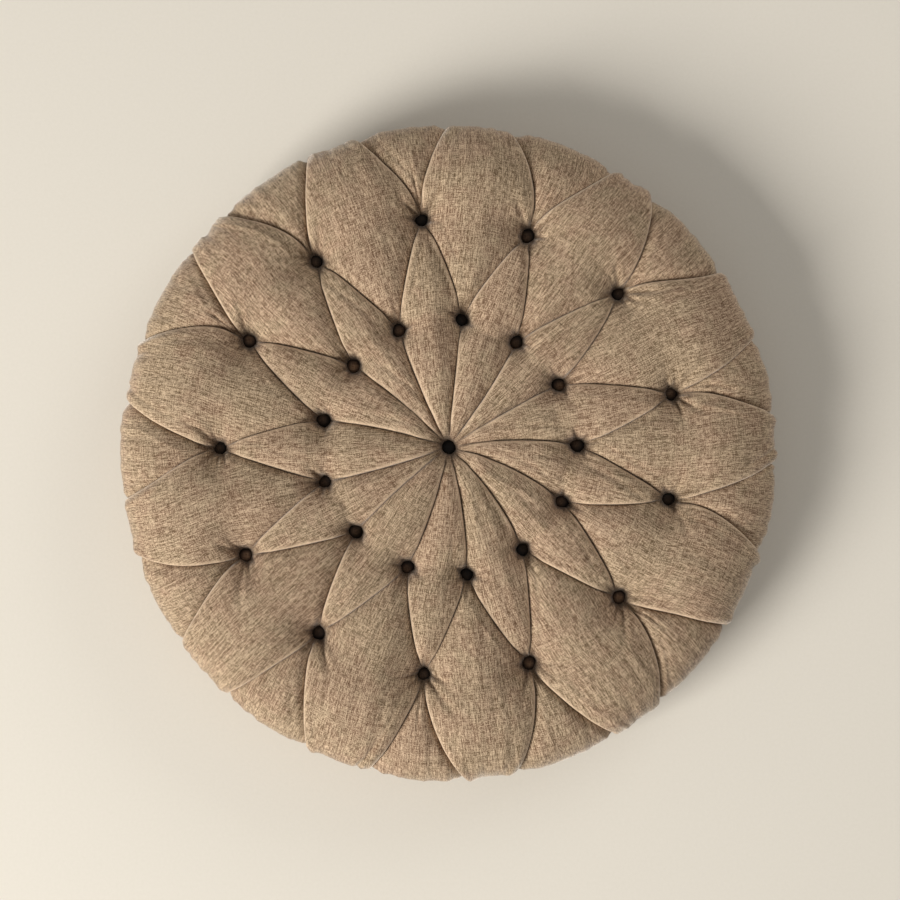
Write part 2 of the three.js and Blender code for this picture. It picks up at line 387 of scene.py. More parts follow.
def panel_points(kind, number, left, right, column_count, scale, fine):
    """The places of a panel's grid, its weave coordinates, its flat coordinates, the painted shade of each point for
    lying deep in a fold, a well or a gather, the painted highlight along the rolled lips, and whether it is sewn
    fast."""
    draw = np.random.default_rng(1000 + number * 3 + ("kite", "petal", "wedge").index(kind))
    share = columns(column_count)[None, :]
    reach = left[:, :1] * (1 - share) + right[:, :1] * share
    turn = left[:, 1:] * (1 - share) + right[:, 1:] * share
    radius = np.interp(reach, SIDE_LENGTH, SIDE_RADIUS)
    width = np.abs(right[:, 1:] - left[:, 1:]) * radius[:, :1]
    from_left, from_right = share * width, (1 - share) * width
    flat_x, flat_y = reach * np.sin(turn), reach * np.cos(turn)
    outwards = eased((reach - RIM_START) / RIM_LENGTH)
    _, distance, _ = nearest_button(flat_x, flat_y)

    dip = well(flat_x, flat_y)
    crease_sharp = (CREASE_SHARP[0] - CREASE_SHARP[1] * outwards) * MM
    crease_soft = (CREASE_SOFT[0] - CREASE_SOFT[1] * outwards) * MM
    # One side of each pleat is rolled over the other: kites over petals, petals over wedges, and a kite over the kite
    # before it.
    row = np.arange(len(left))[:, None]
    over_left = over_right = np.zeros((len(left), 1))
    if kind == "kite":
        over_left, over_right = over_left + 1, np.where(row > ROWS_INNER // scale, 1, 0)
    if kind == "petal":
        over_left = over_right = np.where(row > ROWS_MIDDLE // scale, 1, 0)
    steep_left, steep_right = (2.6 - 1.3 * over_left) * MM, (2.6 - 1.3 * over_right) * MM
    crest = crease_sharp * rise(from_left, steep_left) * rise(from_right, steep_right)
    crest = crest + crease_soft * swell(from_left, 9 * MM) * swell(from_right, 9 * MM)
    fold = crease_sharp + crease_soft - crest
    lift = np.zeros_like(reach)
    slip = np.zeros_like(reach)
    lip_highlight = np.zeros_like(reach)
    gathered = np.zeros_like(reach)
    room = eased(width / (12 * MM))
    clear = eased((distance - 6 * MM) / (14 * MM))
    across, along = (share - 0.5) * width, reach
    if fine:
        roll = draw.uniform(0.9, 1.8, 2) * MM
        curl = 1.5 * MM
        lean_left = from_left / curl * np.exp(1 - from_left / curl)
        lean_right = from_right / curl * np.exp(1 - from_right / curl)
        slip = (roll[1] * over_right * lean_right - roll[0] * over_left * lean_left) * room * clear
        lift = lift + 0.6 * (over_left * lean_left + over_right * lean_right) * MM * room
        # Painted highlight: a lighter band of colour along the edge of each rolled lip, where it catches the light.
        highlight_left, highlight_right = hump(from_left, curl, 1.1 * MM), hump(from_right, curl, 1.1 * MM)
        lip_highlight = (over_left * highlight_left + over_right * highlight_right) * room
        # Long soft folds that run the way of the pleats.
        seed = draw.uniform(0, 50)
        rib = 0.42 * wander(across + seed, along * 0.11, 5.5 * MM, 7)
        rib = rib + 0.26 * wander(across + seed, along * 0.13, 3.2 * MM, 8)
        lift = lift + rib * MM * room * (1 + 0.8 * outwards)
        for edge in (from_left, from_right):
            for at in draw.uniform(4, 13, 3) * MM:
                start, end = np.sort(draw.uniform(0, 1, 2))
                rows = np.linspace(0, 1, len(left))[:, None]
                span = eased((rows - start + 0.1) / 0.2) * (1 - eased((rows - end) / 0.2))
                lift = lift + draw.uniform(-1.1, 0.9) * MM * hump(edge, at, 1.9 * MM) * span * room
        lift = lift + 0.45 * MM * wander(flat_x, flat_y, 26 * MM, 5) + 0.20 * MM * wander(flat_x, flat_y, 9 * MM, 6)
        gathered = tucks(flat_x, flat_y) * eased((distance - 4.6 * MM) / (1.5 * MM))
        dip = dip + gathered
    if kind == "petal":
        # Towards the rim the two folds of a petal stand up as ridges with a valley between.
        ridges = hump(from_left, 6 * MM, 3.5 * MM) + hump(from_right, 6 * MM, 3.5 * MM)
        valley = hump(from_left, 17 * MM, 6 * MM) * hump(from_right, 17 * MM, 6 * MM)
        lift = lift + (1.8 * ridges - 1.0 * valley) * MM * outwards
    if kind == "wedge":
        lift = lift - 0.8 * MM * outwards
        if fine and number % 2 == 0:
            # Some wedges have a crease up the middle from the button.
            crease = np.exp(-(((across - draw.uniform(-1, 1) * MM) / (1.1 * MM)) ** 2))
            lift = lift - 1.5 * MM * crease * eased((reach - 0.184) / 0.010) * (1 - eased((reach - 0.200) / 0.025))
    tuck = SEAM_TUCK * np.exp(-(CLOTH_REACH - reach) / TUCK_LENGTH)
    depth = dip + (1 - 0.8 * dip / SEAT_DEPTH) * (fold - lift * clear) + tuck
    depth = np.where(distance < UNDER_BUTTON, SEAT_DEPTH, np.minimum(depth, SEAT_DEPTH))
    place, out, along_rim = on_side(reach, turn)
    points = place - out * depth[..., None] + along_rim * slip[..., None]
    weave = np.stack([across + draw.uniform(0, 3), reach + draw.uniform(0, 3)], -1)
    flat = np.stack([flat_x, flat_y], -1)
    in_pleat = np.minimum(from_left, from_right) < 0.05 * MM
    held = in_pleat | (distance < HELD_BY_BUTTON) | (reach > CLOTH_REACH - HELD_BY_SEAM)
    # Painted shade: the deeper a point lies in a fold, in a well beside a button or in a gather, the darker its
    # colour is made.
    shade = np.clip(fold / (crease_sharp + crease_soft), 0, 1) + dip / SEAT_DEPTH + 0.28 * gathered / MM
    return points, weave, flat, shade, lip_highlight * clear, held


def grid_faces(rows, cols, start):
    """Quads over a grid of rows and columns of points numbered from start."""
    index = start + np.arange(rows * cols).reshape(rows, cols)
    return np.stack([index[:-1, :-1], index[:-1, 1:], index[1:, 1:], index[1:, :-1]], -1).reshape(-1, 4)


def band(outer, inner):
    """Quads between two rings of numbered points."""
    return np.stack([outer, np.roll(outer, -1), np.roll(inner, -1), inner], -1).tolist()


def fan(ring, middle_point):
    """Triangles between a ring of numbered points and one in the middle."""
    return np.stack([ring, np.roll(ring, -1), np.full(len(ring), middle_point)], -1).tolist()


def merged(points):
    """One point of each group that lies in the same place, and the number of the group that every point is in."""
    key = np.round(points / SAME_PLACE).astype(np.int64)
    _, first, number = np.unique(key, axis=0, return_index=True, return_inverse=True)
    return first, number.reshape(-1)


def joined(points, quads):
    """Points with the ones in the same place made one, which old point each one was, the faces without the corners
    that fell together, and the old point at each corner."""
    first, number = merged(points)
    faces, corners = [], []
    for quad, old in zip(number[quads].tolist(), quads.tolist()):
        keep = [i for i in range(len(quad)) if quad[i] != quad[i - 1]]
        if len(keep) > 2:
            faces.append([quad[i] for i in keep])
            corners.extend(old[i] for i in keep)
    return points[first], first, faces, np.array(corners)


def mesh_piece(name, points, faces, smooth=True):
    """A mesh object in place, its object at the origin."""
    mesh = bpy.data.meshes.new(name)
    mesh.from_pydata(np.asarray(points).tolist(), [], faces if isinstance(faces, list) else faces.tolist())
    mesh.polygons.foreach_set("use_smooth", [smooth] * len(mesh.polygons))
    mesh.update()
    piece = bpy.data.objects.new(name, mesh)
    bpy.context.scene.collection.objects.link(piece)
    return piece


def add_map(piece, name, values):
    """A UV map from one pair of numbers for each corner."""
    layer = piece.data.uv_layers.new(name=name)
    layer.uv.foreach_set("vector", np.asarray(values, np.float32).reshape(-1))


def add_numbers(piece, name, values):
    """A number at each point, for a material to read."""
    layer = piece.data.attributes.new(name, "FLOAT", "POINT")
    layer.data.foreach_set("value", np.asarray(values, np.float32))


def bake_places(cloth, size, hidden):
    """Where each corner lies in the baked picture: the cloth fills it as one disc, and the hidden faces are a small
    disc in the bottom left corner."""
    return np.concatenate([0.5 + 0.49 * cloth / size, 0.072 + 0.068 * hidden / PAD_RADIUS])


# ---------------- stuffing the panels

SWELL_FRAMES = 16
SWELL_CAP = 6 * MM
SWELL_SCALE = 4
SWELL_SETTINGS = {
    "quality": 4, "mass": 0.05, "tension_stiffness": 15, "compression_stiffness": 15, "shear_stiffness": 5,
    "bending_stiffness": 0.5, "air_damping": 1, "vertex_group_mass": "held", "pin_stiffness": 1,
    "shrink_min": -0.02, "use_pressure": True, "uniform_pressure_force": 1200,
}


def stuffed(scale):
    """How far stuffing moves each point of the coarse cloth, as one array for each panel. The pleats, the buttons
    and the seam are held, and pressure blows up the cloth between them, which is a little larger than its gap."""
    sheets, quads, pins, start = [], [], [], 0
    for panel in panels(scale):
        points, *_, held = panel_points(*panel, scale, False)
        sheets.append(points)
        pins.append(held.reshape(-1))
        quads.append(grid_faces(*points.shape[:2], start))
        start += points.shape[0] * points.shape[1]
    every = np.concatenate([sheet.reshape(-1, 3) for sheet in sheets])
    _, number = merged(every)
    places, _, faces, _ = joined(every, np.concatenate(quads))
    held = np.zeros(len(places), bool)
    held[number[np.concatenate(pins)]] = True
    cloth = mesh_piece("stuffing_trial", places, faces)
    group = cloth.vertex_groups.new(name="held")
    group.add(np.nonzero(held)[0].tolist(), 1.0, "REPLACE")
    blow = cloth.modifiers.new("blow", "CLOTH")
    for key, value in SWELL_SETTINGS.items():
        setattr(blow.settings, key, value)
    blow.settings.effector_weights.gravity = 0
    blow.collision_settings.use_collision = False
    blow.point_cache.frame_start = 1
    blow.point_cache.frame_end = SWELL_FRAMES
    for moment in range(1, SWELL_FRAMES + 1):
        bpy.context.scene.frame_set(moment)
    after = cloth.evaluated_get(bpy.context.evaluated_depsgraph_get())
    moved = np.zeros(len(places) * 3)
    after.data.vertices.foreach_get("co", moved)
    shift = moved.reshape(-1, 3) - places
    bpy.context.scene.frame_set(1)
    bpy.data.objects.remove(cloth)
    size = np.linalg.norm(shift, axis=1)
    shift = shift * np.minimum(1, SWELL_CAP / np.maximum(size, 1e-9))[:, None]
    shift[held] = 0
    spread = shift[number]
    moves, start = [], 0
    for sheet in sheets:
        count = sheet.shape[0] * sheet.shape[1]
        # A panel's narrow end hardly moves, and two rounds of smoothing take out the coarse grid's buckles.
        width = np.linalg.norm(sheet[:, -1:] - sheet[:, :1], axis=-1, keepdims=True)
        move = spread[start:start + count].reshape(sheet.shape) * eased(width / (22 * MM))
        for _ in range(2):
            beside = move[2:, 1:-1] + move[:-2, 1:-1] + move[1:-1, 2:] + move[1:-1, :-2]
            move[1:-1, 1:-1] = 0.5 * move[1:-1, 1:-1] + 0.125 * beside
        moves.append(move)
        start += count
    return moves


def finer(values):
    """A grid of values with one more between each two, both ways, on a smooth curve."""
    for axis in (0, 1):
        v = np.moveaxis(values, axis, 0)
        before = np.concatenate([2 * v[:1] - v[1:2], v[:-2], v[-3:-2]])[: len(v) - 1]
        after = np.concatenate([v[2:], 2 * v[-1:] - v[-2:-1]])[: len(v) - 1]
        between = (9 * (v[:-1] + v[1:]) - before - after) / 16
        out = np.empty((2 * len(v) - 1,) + v.shape[1:])
        out[0::2] = v
        out[1::2] = between
        values = np.moveaxis(out, 0, axis)
    return values


def make_top_cover():
    """The pleated top cloth with its wadding, closed underneath by a hidden back."""
    moves = stuffed(SWELL_SCALE)
    grids, quads, start = [], [], 0
    for order, panel in enumerate(panels(1)):
        points, *rest, _ = panel_points(*panel, 1, True)
        if moves:
            points = points + finer(finer(moves[order]))
        rows, cols = points.shape[:2]
        grids.append([values.reshape(rows * cols, -1) for values in (points, *rest)])
        quads.append(grid_faces(rows, cols, start))
        start += rows * cols
    every, weave, flat, fold, lip_highlight = (np.concatenate(part) for part in zip(*grids))
    places, first, faces, corners = joined(every, np.concatenate(quads))
    weave_corners, flat_corners = weave[corners], flat[corners]
    # The hidden back: rings from the seam in to the middle.
    reach = np.hypot(*flat[first].T)
    edge = np.nonzero(reach > CLOTH_REACH - 1e-6)[0]
    edge = edge[np.argsort(np.arctan2(places[edge, 0], places[edge, 1]))]
    rings = [edge]
    shape = places[edge]
    added = []
    total = len(places)
    for inset, height in ((HIDDEN_INSET, SEAM_Z + 1.5 * MM), (0.6, SEAM_Z + 3 * MM)):
        ring = shape * np.array([inset, inset, 0]) + np.array([0, 0, height])
        added.append(ring)
        rings.append(np.arange(total, total + len(ring)))
        total += len(ring)
    added.append(np.array([[0, 0, SEAM_Z + 3 * MM]]))
    back_faces = [face for outer, inner in zip(rings[:-1], rings[1:]) for face in band(outer, inner)]
    back_faces += fan(rings[-1], total)
    places = np.concatenate([places] + added)
    piece = mesh_piece("quilted_top_cover", places, faces + back_faces)
    back = np.array([v for face in back_faces for v in face])
    back_flat = places[back, :2]
    add_map(piece, "Weave", np.concatenate([weave_corners, back_flat]))
    add_map(piece, "OFBake", bake_places(flat_corners, CLOTH_REACH, back_flat))
    hidden = len(places) - len(first)
    # The fold numbers carry the painted shade and the lip numbers the painted highlight to the material; the hidden
    # back gets full painted shade.
    add_numbers(piece, "fold", np.concatenate([fold[first, 0], np.ones(hidden)]))
    add_numbers(piece, "lip_highlight", np.concatenate([lip_highlight[first, 0], np.zeros(hidden)]))
    return piece


# ---------------- finishes

class Amount:
    """A number that varies over a surface. Python's own signs lay out the Math nodes."""

    def __init__(self, finish, socket):
        self.finish = finish
        self.socket = socket

    def math(self, operation, *others):
        return self.finish.node("ShaderNodeMath", {"operation": operation}, [self, *others])

    def __add__(self, other):
        return self.math("ADD", other)

    def __sub__(self, other):
        return self.math("SUBTRACT", other)

    def __mul__(self, other):
        return self.math("MULTIPLY", other)

    __radd__ = __add__
    __rmul__ = __mul__

    def __rsub__(self, other):
        return self.finish.node("ShaderNodeMath", {"operation": "SUBTRACT"}, [other, self])


class Finish:
    """A material and the nodes that it is made of."""

    def __init__(self, name):
        self.material = bpy.data.materials.new(name)
        self.material.use_nodes = True
        self.tree = self.material.node_tree
        self.tree.nodes.clear()

    def node(self, kind, settings=None, inputs=None, output=0):
        """Adds a node, sets it up, and fills its sockets by number or name with values or links."""
        made = self.tree.nodes.new(kind)
        for key, value in (settings or {}).items():
            setattr(made, key, value)
        pairs = inputs.items() if isinstance(inputs, dict) else enumerate(inputs or [])
        for key, value in pairs:
            socket = made.inputs[key]
            if isinstance(value, Amount):
                self.tree.links.new(value.socket, socket)
            else:
                socket.default_value = value
        return Amount(self, made.outputs[output]) if made.outputs else made

    def mixed(self, share, first, second):
        """One colour turning into another."""
        return self.node("ShaderNodeMix", {"data_type": "RGBA"}, {0: share, 6: first, 7: second}, 2)

    def noise(self, place, scale, detail, roughness):
        """Random blotches from 0 to 1 at a scale in cycles per metre."""
        settings = {"Vector": place, "Scale": scale, "Detail": detail, "Roughness": roughness}
        return self.node("ShaderNodeTexNoise", {"noise_dimensions": "3D"}, settings)

    def stretched(self, place, x, y):
        """A place squeezed along its own axes, so that a noise on it runs in streaks."""
        settings = {"Vector": place, "Scale": (x, y, 1.0)}
        return self.node("ShaderNodeMapping", {"vector_type": "POINT"}, settings)

    def stepped(self, value, low, high):
        """0 below low, 1 above high and smooth between."""
        settings = {"Value": value, "From Min": low, "From Max": high}
        return self.node("ShaderNodeMapRange", {"interpolation_type": "SMOOTHSTEP"}, settings)

    def surface(self, colour, roughness, height, bump_strength, bump_distance, constants):
        """Ends the material in one shader with a bump."""
        relief = {"Strength": bump_strength, "Distance": bump_distance, "Height": height}
        bump = self.node("ShaderNodeBump", None, relief)
        inputs = {"Base Color": colour, "Roughness": roughness, "Normal": bump, **constants}
        shader = self.node("ShaderNodeBsdfPrincipled", None, inputs)
        self.node("ShaderNodeOutputMaterial", None, {"Surface": shader})
        return self.material


def rgb(red, green, blue):
    """A colour given in display values from 0 to 255, as the linear values that a material takes."""
    linear = [((c / 255 + 0.055) / 1.055) ** 2.4 if c > 10 else c / 255 / 12.92 for c in (red, green, blue)]
    return (*linear, 1.0)


CLOTH_GLOSS = {
    "Sheen Weight": 0.7, "Sheen Roughness": 0.35, "Sheen Tint": (1.0, 0.93, 0.85, 1.0), "Specular IOR Level": 0.2,
}


def linen(name, dark, light, warm, cool):
    """Slub linen-look cloth: short broken threads both ways, coarse slubs, and warm and cool drifts of colour."""
    finish = Finish(name)
    weave = finish.node("ShaderNodeUVMap", {"uv_map": "Weave"})
    warp = finish.noise(finish.stretched(weave, 1.0, 0.12), 1600.0, 1.0, 0.6)
    weft = finish.noise(finish.stretched(weave, 0.15, 1.0), 1600.0, 1.0, 0.6)
    speck = finish.noise(weave, 1700.0, 1.0, 0.7)
    warp_slub = finish.noise(finish.stretched(weave, 1.0, 0.035), 900.0, 1.0, 0.5)
    weft_slub = finish.noise(finish.stretched(weave, 0.035, 1.0), 900.0, 1.0, 0.5)
    drift = finish.noise(weave, 17.0, 2.0, 0.55)
    blotch = finish.noise(weave, 75.0, 2.0, 0.6)
    threads = 0.26 * warp + 0.18 * weft + 0.34 * speck + 0.14 * warp_slub + 0.08 * weft_slub
    tone = finish.stepped(threads + 0.03 * (blotch - 0.5), 0.42, 0.61)
    ground = finish.mixed(tone, dark, light)
    tint = finish.mixed(finish.stepped(drift * 0.6 + blotch * 0.4, 0.40, 0.60), warm, cool)
    ground = finish.mixed(0.25, ground, tint)
    # Painted shade: the colour goes towards the dark thread colour where the fold numbers say a point lies deep in a
    # fold, a well, a gather or a dimple.
    fold = finish.node("ShaderNodeAttribute", {"attribute_name": "fold"}, None, 2)
    ground = finish.mixed(finish.stepped(fold, 0.66, 1.14) * 0.40, ground, dark)
    # Painted highlight: the colour goes towards the light thread colour along the rolled lips.
    lip_highlight = finish.node("ShaderNodeAttribute", {"attribute_name": "lip_highlight"}, None, 2)
    ground = finish.mixed(lip_highlight * 0.55, ground, light)
    return finish.surface(ground, 0.9, threads, 0.7, 0.7 * MM, CLOTH_GLOSS)


def button_finish():
    """Dark brown cloth stretched over a dome, with a fine weave, a painted highlight on top of the dome and painted
    shade towards its edge, and painted shade darkening some whole buttons.
    """
    finish = Finish("dark_button_cloth")
    place = finish.node("ShaderNodeTexCoord", None, None, 3)
    threads = finish.noise(finish.stretched(place, 1.0, 0.2), 1500.0, 2.0, 0.6)
    cross = finish.noise(finish.stretched(place, 0.2, 1.0), 1500.0, 2.0, 0.6)
    blotch = finish.noise(place, 240.0, 2.0, 0.5)
    weave = threads * 0.5 + cross * 0.5
    colour = finish.mixed(finish.stepped(weave, 0.35, 0.65), rgb(132, 96, 68), rgb(214, 174, 138))
    colour = finish.mixed(finish.stepped(blotch, 0.4, 0.7) * 0.35, colour, rgb(150, 110, 80))
    # Painted highlight and shade: the cloth is lighter on top of the dome and darker towards its edge.
    crown_highlight = finish.node("ShaderNodeAttribute", {"attribute_name": "crown_highlight"}, None, 2)
    colour = finish.mixed(crown_highlight, rgb(50, 34, 25), colour)
    # Painted shade: each button is darkened by its own share, nearly to black, as for a button deep in the shade of
    # its well.
    dark = finish.node("ShaderNodeAttribute", {"attribute_name": "dark"}, None, 2)
    colour = finish.mixed(dark, colour, rgb(12, 8, 7))
    return finish.surface(colour, 0.62, weave, 0.4, 0.25 * MM, {"Sheen Weight": 0.15, "Specular IOR Level": 0.35})


def thread_finish(name, tone, light):
    """Twisted thread or twine."""
    finish = Finish(name)
    place = finish.node("ShaderNodeTexCoord", None, None, 3)
    fibre = finish.noise(place, 1400.0, 2.0, 0.6)
    colour = finish.mixed(finish.stepped(fibre, 0.35, 0.65), tone, light)
    return finish.surface(colour, 0.7, fibre, 0.4, 0.2 * MM, {"Sheen Weight": 0.2})


def fibre_finish():
    """Soft white fibre."""
    finish = Finish("white_fibre")
    place = finish.node("ShaderNodeTexCoord", None, None, 3)
    fluff = finish.noise(place, 90.0, 6.0, 0.7)
    colour = finish.mixed(fluff, rgb(214, 208, 196), rgb(240, 237, 230))
    return finish.surface(colour, 1.0, fluff, 0.8, 2 * MM, {"Sheen Weight": 0.3})


cover_cloth = linen("taupe_linen", rgb(65, 43, 24), rgb(219, 193, 163), rgb(154, 119, 93), rgb(146, 127, 95))
base_cloth = linen("base_linen", rgb(62, 43, 30), rgb(200, 174, 142), rgb(142, 112, 90), rgb(136, 119, 93))
button_cloth = button_finish()
seam_thread = thread_finish("seam_thread", rgb(104, 86, 68), rgb(152, 130, 106))
twine = thread_finish("waxed_twine", rgb(74, 56, 42), rgb(112, 90, 70))
fibre = fibre_finish()


def done(piece, material, nodes):
    """Gives a piece its material, its body and the CAD nodes that it stands for."""
    piece.data.materials.clear()
    piece.data.materials.append(material)
    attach(piece, "root")
    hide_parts(*nodes)
    return piece


top = done(make_top_cover(), cover_cloth, ["top_cover"])


# ---------------- the underside

def make_bottom_cover():
    """The plain base cloth from the seam down and under, dimpled where the ties pull it in."""
    count = 480
    turns = np.linspace(SEAM_DROP, math.pi / 2, 26)
    radius = REST_RADIUS + (PAD_RADIUS - REST_RADIUS) * np.cos(turns)
    height = WIDEST_Z * (1 - np.sin(turns))
    flat_radius = np.linspace(REST_RADIUS, 0, 84)[1:]
    radius = np.concatenate([radius, flat_radius])[:, None]
    height = np.concatenate([height, np.zeros(len(flat_radius))])[:, None]
    lengths = np.hypot(np.diff(radius[:, 0]), np.diff(height[:, 0]))
    length = np.concatenate([[0], np.cumsum(lengths)])[:, None]
    turn = np.linspace(0, 2 * math.pi, count + 1)[None, :]
    x, y = radius * np.sin(turn), radius * np.cos(turn)
    nearest = np.min([np.hypot(x - spot.x, y - spot.y) for spot in [CENTRE] + INNER + OUTER], axis=0)
    pull = np.maximum(nearest - 5.6 * MM, 0) / MM
    dimple = UNDER_TOP * (0.5 * np.exp(-((pull / 3.5) ** 1.3)) + 0.5 * np.exp(-((pull / 9) ** 1.2)))
    under = eased((REST_RADIUS + 10 * MM - radius) / (20 * MM))
    side_pull = 1.1 * MM * np.maximum(wander(x, y, 14 * MM, 12), 0) * (1 - under) * eased(length / (6 * MM))
    # Small puckers that run down from the seam and fade.
    rim_x, rim_y = PAD_RADIUS * np.sin(turn), PAD_RADIUS * np.cos(turn)
    pucker = wander(rim_x, rim_y, 8 * MM, 14) + 0.7 * wander(rim_x, rim_y, 4.5 * MM, 15)
    side_pull = side_pull + 0.9 * MM * pucker * eased(length / (4 * MM)) * np.exp(-length / (15 * MM))
    tuck = SEAM_TUCK * np.exp(-length / TUCK_LENGTH)
    shrink = 1 - (tuck + side_pull) / np.maximum(radius, 1e-3) * (radius > 0.05)
    z = height + dimple * under + 0.5 * MM * np.maximum(wander(x, y, 30 * MM, 13), 0) * under
    points = np.stack([x * shrink, y * shrink, z * np.ones_like(x)], -1)
    rows, cols = points.shape[:2]
    places, first, faces, corners = joined(points.reshape(-1, 3), grid_faces(rows, cols, 0))
    ring = np.nonzero(np.abs(places[:, 2] - SEAM_Z) < 1e-7)[0]
    ring = ring[np.argsort(np.arctan2(places[ring, 0], places[ring, 1]))]
    total = len(places)
    lid_z = SEAM_Z - 1.0 * MM
    lid_low = places[ring] * np.array([HIDDEN_INSET, HIDDEN_INSET, 0]) + np.array([0, 0, lid_z])
    ring, low_ring = ring[::-1], np.arange(total, total + len(ring))[::-1]
    lid_faces = band(ring, low_ring) + fan(low_ring, total + len(ring))
    places = np.concatenate([places, lid_low, [[0, 0, lid_z]]])
    piece = mesh_piece("base_cover", places, faces + lid_faces)
    lid = np.array([v for face in lid_faces for v in face])
    reach = length.max() - (length * np.ones_like(x)).reshape(-1)[corners]
    way = (turn * np.ones_like(x)).reshape(-1)[corners]
    laid = np.stack([reach * np.sin(way), reach * np.cos(way)], -1)
    add_map(piece, "Weave", np.concatenate([laid, places[lid, :2]]))
    add_map(piece, "OFBake", bake_places(laid, length.max(), places[lid, :2]))
    # Painted shade: the base cloth is darkened by how deep each tie dimple is; the hidden lid gets full painted
    # shade.
    dimple_shade = (dimple * under / UNDER_TOP).reshape(-1)[first]
    add_numbers(piece, "fold", np.concatenate([dimple_shade, np.ones(len(places) - len(first))]))
    return piece


base = done(make_bottom_cover(), base_cloth, ["bottom_cover"])


# ---------------- turned pieces

def turned(profile, count):
    """Points and quads of a profile of (radius, height) pairs turned about the z axis, closed on the axis."""
    turn = np.linspace(0, 2 * math.pi, count + 1)
    radius, height = np.array(profile).T
    radius, height = radius[:, None], height[:, None]
    points = np.stack([radius * np.cos(turn), radius * np.sin(turn), height * np.ones_like(turn)], -1)
    return points, grid_faces(len(profile), count + 1, 0)


def make_fill():
    """The loose fibre between the covers, a plain lens that nothing shows of."""
    low, high = UNDER_TOP + 2 * MM, SEAM_Z - 2 * MM
    profile = [
        (0, low), (150 * MM, low), (212 * MM, low + 1 * MM), (228 * MM, (low + high) / 2),
        (220 * MM, high - 1 * MM), (150 * MM, high), (0, high),
    ]
    points, quads = turned(profile, 96)
    places, _, faces, _ = joined(points.reshape(-1, 3), quads)
    places[:, 2] += 0.5 * MM * wander(places[:, 0], places[:, 1], 20 * MM, 21)
    return mesh_piece("fibre_wadding", places, faces)


wadding = done(make_fill(), fibre, ["fibre_fill"])


def make_button(label, seed):
    """A cloth-covered dome button: the cloth is gathered in small tucks under its edge."""
    draw = np.random.default_rng(seed)
    spot = middle(f"button_{label}")
    edge = BUTTON_LOW + 1.5 * MM
    profile = [
        (0, BUTTON_LOW), (3.6 * MM, BUTTON_LOW),
        (4.9 * MM, BUTTON_LOW + 0.15 * MM), (5.5 * MM, BUTTON_LOW + 0.7 * MM),
    ]
    for turn in np.linspace(0, math.pi / 2, 9):
        profile.append((BUTTON_RADIUS * math.cos(turn) ** 0.85, edge + (BUTTON_HIGH - edge) * math.sin(turn)))
    points, quads = turned(profile, 48)
    angle = np.arctan2(points[..., 1], points[..., 0])
    radius = np.hypot(points[..., 0], points[..., 1])
    gather = 1 + 0.022 * np.cos(15 * angle + draw.uniform(0, 6)) * eased((radius - 3.4 * MM) / (2 * MM))
    points[..., :2] *= gather[..., None]
    lean = draw.uniform(-0.24, 0.24, 2)
    points[..., 2] += lean[0] * points[..., 0] + lean[1] * points[..., 1]
    points[..., 2] = np.maximum(points[..., 2], BUTTON_LOW - 0.25 * MM)
    places, _, faces, _ = joined(points.reshape(-1, 3) + np.array([spot.x, spot.y, BUTTON_RAISED]), quads)
    piece = mesh_piece(f"covered_button_{label}", places, faces)
    # Painted shade for buttons deep in their wells: a random share of darkening for each, the whole of it for the
    # centre button.
    dark = draw.uniform(0, 1) ** 0.7
    add_numbers(piece, "dark", np.full(len(places), 1.0 if label == "centre" else dark))
    # Painted highlight: lightest on a spot near the top of the dome, darker towards the edge.
    highlight_spot = np.array(spot.xy) + draw.uniform(-1.3, 1.3, 2) * MM
    from_highlight_spot = np.hypot(places[:, 0] - highlight_spot[0], places[:, 1] - highlight_spot[1])
    add_numbers(piece, "crown_highlight", eased((5.4 * MM - from_highlight_spot) / (5.0 * MM)))
    return piece


for count, label in enumerate(BUTTON_NODES):
    done(make_button(label, 300 + count), button_cloth, [f"button_{label}"])


